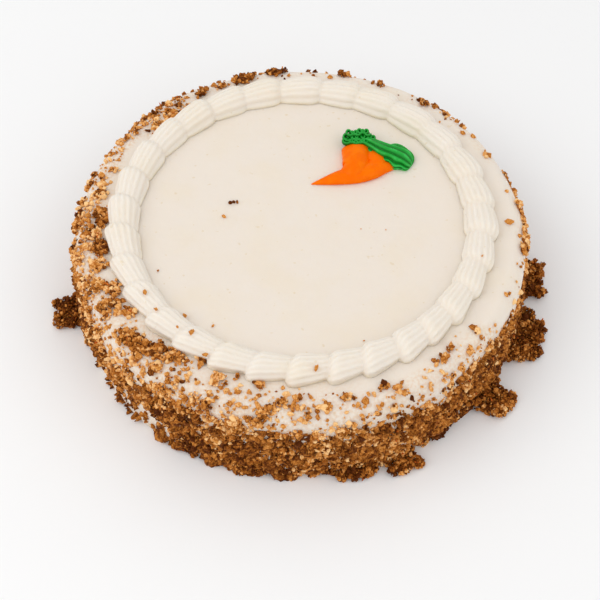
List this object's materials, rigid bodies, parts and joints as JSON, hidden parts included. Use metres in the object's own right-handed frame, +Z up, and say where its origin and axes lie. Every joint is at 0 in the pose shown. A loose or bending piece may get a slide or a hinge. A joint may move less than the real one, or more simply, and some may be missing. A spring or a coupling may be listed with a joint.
{
  "type": "carrot cake",
  "caption": "Uncut round carrot cake with smooth cream cheese icing, cake crumbs pressed round the side, a piped shell border and a small piped carrot with green leaves.",
  "frame": {"origin": "middle of the cake's flat underside", "axes": "+Z up through the cake; -Y is the front, and the piped carrot lies behind and to the right of the middle"},
  "size_m": [0.2495, 0.2219, 0.058],
  "materials": {
    "iced_cake": "soft ivory icing, with golden-brown cake crumbs fused on round the side",
    "shell_border": "soft ivory piped icing",
    "carrot_root": "smooth orange piped icing",
    "carrot_greens": "smooth green piped icing"
  },
  "bodies": {
    "root": {"iced_cake": "iced_cake", "shell_border": "shell_border", "carrot_root": "carrot_root", "carrot_greens": "carrot_greens"}
  },
  "joints": []
}
